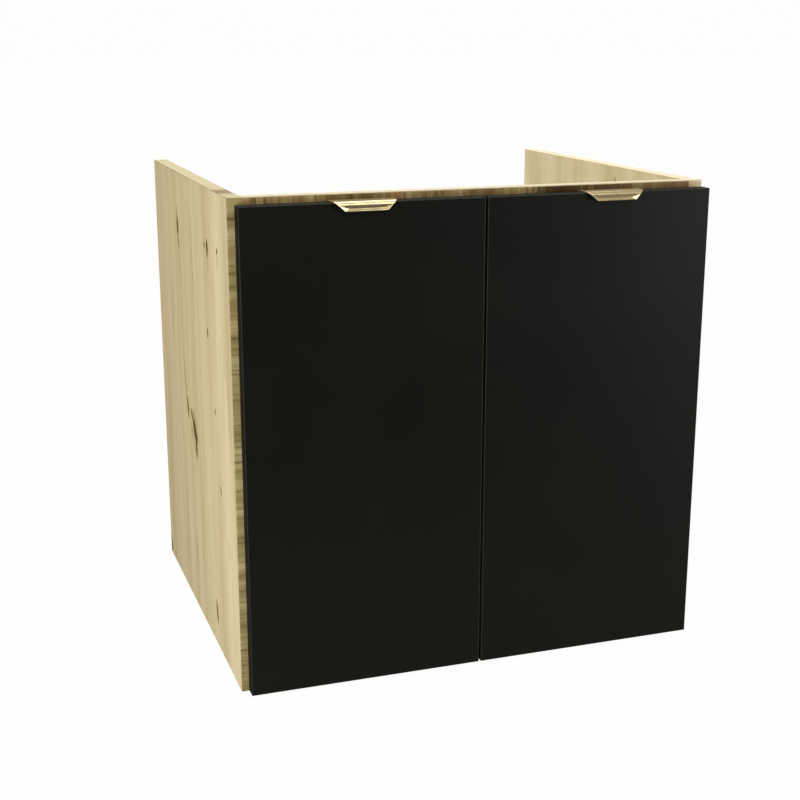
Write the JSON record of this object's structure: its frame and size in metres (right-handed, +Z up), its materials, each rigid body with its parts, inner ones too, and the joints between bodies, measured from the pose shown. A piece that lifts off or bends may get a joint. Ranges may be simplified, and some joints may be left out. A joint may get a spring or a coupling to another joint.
{
  "type": "sink base cabinet",
  "caption": "Wall-hung sink base cabinet with an open top and back, a front rail on edge, hinged flat doors and gold edge pulls.",
  "frame": {"origin": "centre of the whole cabinet's footprint, at the height of its underside", "axes": "+X to the right seen from the front, +Y to the wall, +Z up"},
  "size_m": [0.6, 0.529, 0.6],
  "materials": {
    "oak_board": "oak-decor melamine, satin",
    "oak_edging": "oak-decor edging, satin",
    "black_door": "matt black melamine",
    "black_edging": "matt black edging",
    "gold": "brushed gold",
    "hinge_steel": "nickel-plated, bright",
    "screw_steel": "zinc-plated",
    "zinc_cam": "die-cast zinc",
    "beech_dowel": "raw beech",
    "hanger_plastic": "moulded, matt",
    "bumper_pad": "soft, translucent"
  },
  "bodies": {
    "carcass": {"bottom_panel": "oak_board", "bottom_panel_edging": "oak_edging", "front_rail": "oak_board", "front_rail_edging": "oak_edging", "rear_rail": "oak_board", "rear_rail_edging": "oak_edging", "cam_locks": "zinc_cam", "connecting_bolts": "screw_steel", "wooden_dowels": "beech_dowel", "hinge_plate_screws": "screw_steel", "hinge_arm_screws": "screw_steel", "hanger_screws": "screw_steel", "left_side_panel": "oak_board", "left_side_edging": "oak_edging", "left_hanger_housing": "hanger_plastic", "left_hanger_hook": "screw_steel", "left_hanger_adjusters": "screw_steel", "left_upper_hinge_arm": "hinge_steel", "left_upper_hinge_plate": "hinge_steel", "left_lower_hinge_arm": "hinge_steel", "left_lower_hinge_plate": "hinge_steel", "right_side_panel": "oak_board", "right_side_edging": "oak_edging", "right_hanger_housing": "hanger_plastic", "right_hanger_hook": "screw_steel", "right_hanger_adjusters": "screw_steel", "right_upper_hinge_arm": "hinge_steel", "right_upper_hinge_plate": "hinge_steel", "right_lower_hinge_arm": "hinge_steel", "right_lower_hinge_plate": "hinge_steel"},
    "left_leaf": {"left_door": "black_door", "left_door_edging": "black_edging", "left_door_bumpers": "bumper_pad", "left_handle": "gold", "left_handle_screws": "screw_steel", "left_cup_screws": "screw_steel", "left_hinge_pins": "hinge_steel", "left_hinge_springs": "hinge_steel", "left_upper_hinge_cup": "hinge_steel", "left_lower_hinge_cup": "hinge_steel"},
    "right_leaf": {"right_door": "black_door", "right_door_edging": "black_edging", "right_door_bumpers": "bumper_pad", "right_handle": "gold", "right_handle_screws": "screw_steel", "right_cup_screws": "screw_steel", "right_hinge_pins": "hinge_steel", "right_hinge_springs": "hinge_steel", "right_upper_hinge_cup": "hinge_steel", "right_lower_hinge_cup": "hinge_steel"}
  },
  "joints": [
    {"name": "left_door_hinge", "type": "hinge", "parent": "carcass", "child": "left_leaf", "pos_m": [-0.284, -0.2498, 0.295], "axis": [0, 0, -1], "range_deg": [0, 95]},
    {"name": "right_door_hinge", "type": "hinge", "parent": "carcass", "child": "right_leaf", "pos_m": [0.291, -0.2498, 0.295], "axis": [0, 0, 1], "range_deg": [0, 95]}
  ]
}
